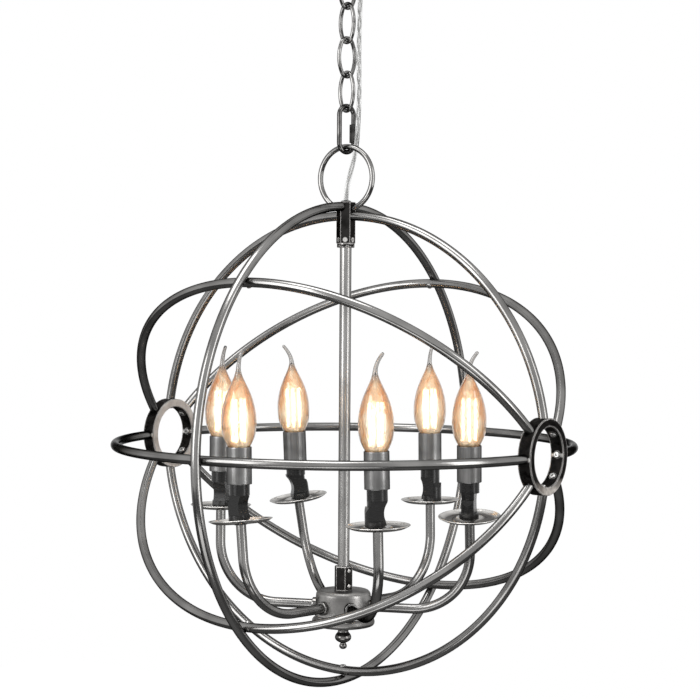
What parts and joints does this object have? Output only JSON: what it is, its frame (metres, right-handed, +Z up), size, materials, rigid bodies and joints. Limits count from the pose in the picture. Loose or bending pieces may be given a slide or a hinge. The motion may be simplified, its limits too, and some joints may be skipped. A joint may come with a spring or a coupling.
{
  "type": "orb chandelier",
  "caption": "Open spherical cage chandelier of bent steel bar with candle arms, drip pans and flame-tip bulbs, hung by a ring, quick link and chain from a ceiling canopy.",
  "frame": {"origin": "middle of the ceiling plane, between the two ceiling screws", "axes": "+Z up, +X along the axis of the two side hubs, -Y towards the front"},
  "size_m": [0.4784, 0.4984, 0.7813],
  "materials": {
    "steel_bar": "brushed antique pewter, satin",
    "dark_steel": "blackened gunmetal, satin",
    "hub_steel": "blackened wall, brushed faces",
    "pewter": "brushed pewter",
    "bright_steel": "polished silver",
    "chain_steel": "dark nickel, satin",
    "zinc_screw": "bright zinc",
    "finial_metal": "polished dark nickel",
    "canopy_paint": "satin pewter paint",
    "black_plastic": "black",
    "white_plastic": "white",
    "brass": "plain",
    "bulb_cap": "nickelled",
    "clear_cord": "clear flexible plastic",
    "grommet": "black",
    "amber_glass": "amber tinted, lit"
  },
  "bodies": {
    "ceiling": {"ceiling_strap": "zinc_screw", "canopy_cover": "canopy_paint", "canopy_loop": "canopy_paint", "canopy_nuts": "zinc_screw", "canopy_grommet": "grommet"},
    "link_4": {"chain_link_4": "chain_steel"},
    "link_3": {"chain_link_3": "chain_steel"},
    "link_2": {"chain_link_2": "chain_steel"},
    "link_1": {"chain_link_1": "chain_steel"},
    "quick_link": {"quick_link": "chain_steel"},
    "quick_nut": {"quick_link_nut": "chain_steel"},
    "chandelier": {"hanging_ring": "steel_bar", "outer_ring": "steel_bar", "arc_top": "steel_bar", "arc_front_upper": "steel_bar", "arc_front": "steel_bar", "arc_front_lower": "steel_bar", "arc_bottom": "steel_bar", "arc_back_lower": "steel_bar", "arc_back": "steel_bar", "arc_back_upper": "steel_bar", "hub_left": "hub_steel", "hub_right": "hub_steel", "cage_screws": "zinc_screw", "top_coupling": "dark_steel", "coupling_lock_nut": "dark_steel", "stem_tube": "steel_bar", "lower_coupling": "dark_steel", "coupling_screws": "zinc_screw", "arm_body": "pewter", "body_cover": "pewter", "finial": "finial_metal", "centre_pipe": "zinc_screw", "terminal_block": "white_plastic", "inner_wiring": "clear_cord", "cord": "clear_cord", "cord_grommet": "grommet", "arm_1": "steel_bar", "arm_2": "steel_bar", "arm_3": "steel_bar", "arm_4": "steel_bar", "arm_5": "steel_bar", "arm_6": "steel_bar", "arm_nuts": "zinc_screw", "drip_pans": "bright_steel", "lampholders": "black_plastic", "candle_sleeves": "pewter", "socket_shells": "brass"},
    "bulb_1": {"bulb_glass_1": "amber_glass", "bulb_base_1": "bulb_cap"},
    "bulb_2": {"bulb_glass_2": "amber_glass", "bulb_base_2": "bulb_cap"},
    "bulb_3": {"bulb_glass_3": "amber_glass", "bulb_base_3": "bulb_cap"},
    "bulb_4": {"bulb_glass_4": "amber_glass", "bulb_base_4": "bulb_cap"},
    "bulb_5": {"bulb_glass_5": "amber_glass", "bulb_base_5": "bulb_cap"},
    "bulb_6": {"bulb_glass_6": "amber_glass", "bulb_base_6": "bulb_cap"}
  },
  "joints": [
    {"name": "link_4_swing", "type": "hinge", "parent": "ceiling", "child": "link_4", "pos_m": [0, 0, -0.05], "axis": [-0.9632, 0.2689, 0], "range_deg": [-20, 20], "deforming": ["cord"]},
    {"name": "link_3_swing", "type": "hinge", "parent": "link_4", "child": "link_3", "pos_m": [0, 0, -0.0845], "axis": [0.2689, 0.9632, 0], "range_deg": [-20, 20], "deforming": ["cord"]},
    {"name": "link_2_swing", "type": "hinge", "parent": "link_3", "child": "link_2", "pos_m": [0, 0, -0.1195], "axis": [-0.9632, 0.2689, 0], "range_deg": [-20, 20], "deforming": ["cord"]},
    {"name": "link_1_swing", "type": "hinge", "parent": "link_2", "child": "link_1", "pos_m": [0, 0, -0.1545], "axis": [0.2689, 0.9632, 0], "range_deg": [-20, 20], "deforming": ["cord"]},
    {"name": "quick_link_swing", "type": "hinge", "parent": "link_1", "child": "quick_link", "pos_m": [0, 0, -0.1895], "axis": [-0.9632, 0.2689, 0], "range_deg": [-20, 20], "deforming": ["cord"]},
    {"name": "chandelier_swing", "type": "hinge", "parent": "quick_link", "child": "chandelier", "pos_m": [0, 0, -0.2317], "axis": [0.2689, 0.9632, 0], "range_deg": [-20, 20], "deforming": ["cord"]},
    {"name": "quick_nut_travel", "type": "slide", "parent": "quick_link", "child": "quick_nut", "axis": [0, 0, 1], "range_m": [0, 0.0085]},
    {"name": "bulb_1_turn", "type": "hinge", "parent": "chandelier", "child": "bulb_1", "pos_m": [0.13232, 0.02906, -0.52849], "axis": [0.0176, -0.0493, 0.9986], "range_deg": [0, 900]},
    {"name": "bulb_2_turn", "type": "hinge", "parent": "chandelier", "child": "bulb_2", "pos_m": [0.02131, 0.13273, -0.52758], "axis": [-0.0172, 0.0031, 0.9998], "range_deg": [0, 900]},
    {"name": "bulb_3_turn", "type": "hinge", "parent": "chandelier", "child": "bulb_3", "pos_m": [-0.11564, 0.0715, -0.52903], "axis": [-0.0283, -0.0332, 0.999], "range_deg": [0, 900]},
    {"name": "bulb_4_turn", "type": "hinge", "parent": "chandelier", "child": "bulb_4", "pos_m": [-0.12762, -0.04226, -0.52758], "axis": [-0.0059, 0.0164, 0.9998], "range_deg": [0, 900]},
    {"name": "bulb_5_turn", "type": "hinge", "parent": "chandelier", "child": "bulb_5", "pos_m": [-0.03728, -0.1298, -0.5282], "axis": [-0.0206, 0.0038, 0.9998], "range_deg": [0, 900]},
    {"name": "bulb_6_turn", "type": "hinge", "parent": "chandelier", "child": "bulb_6", "pos_m": [0.09943, -0.09054, -0.52762], "axis": [-0.017, -0.0199, 0.9997], "range_deg": [0, 900]}
  ]
}
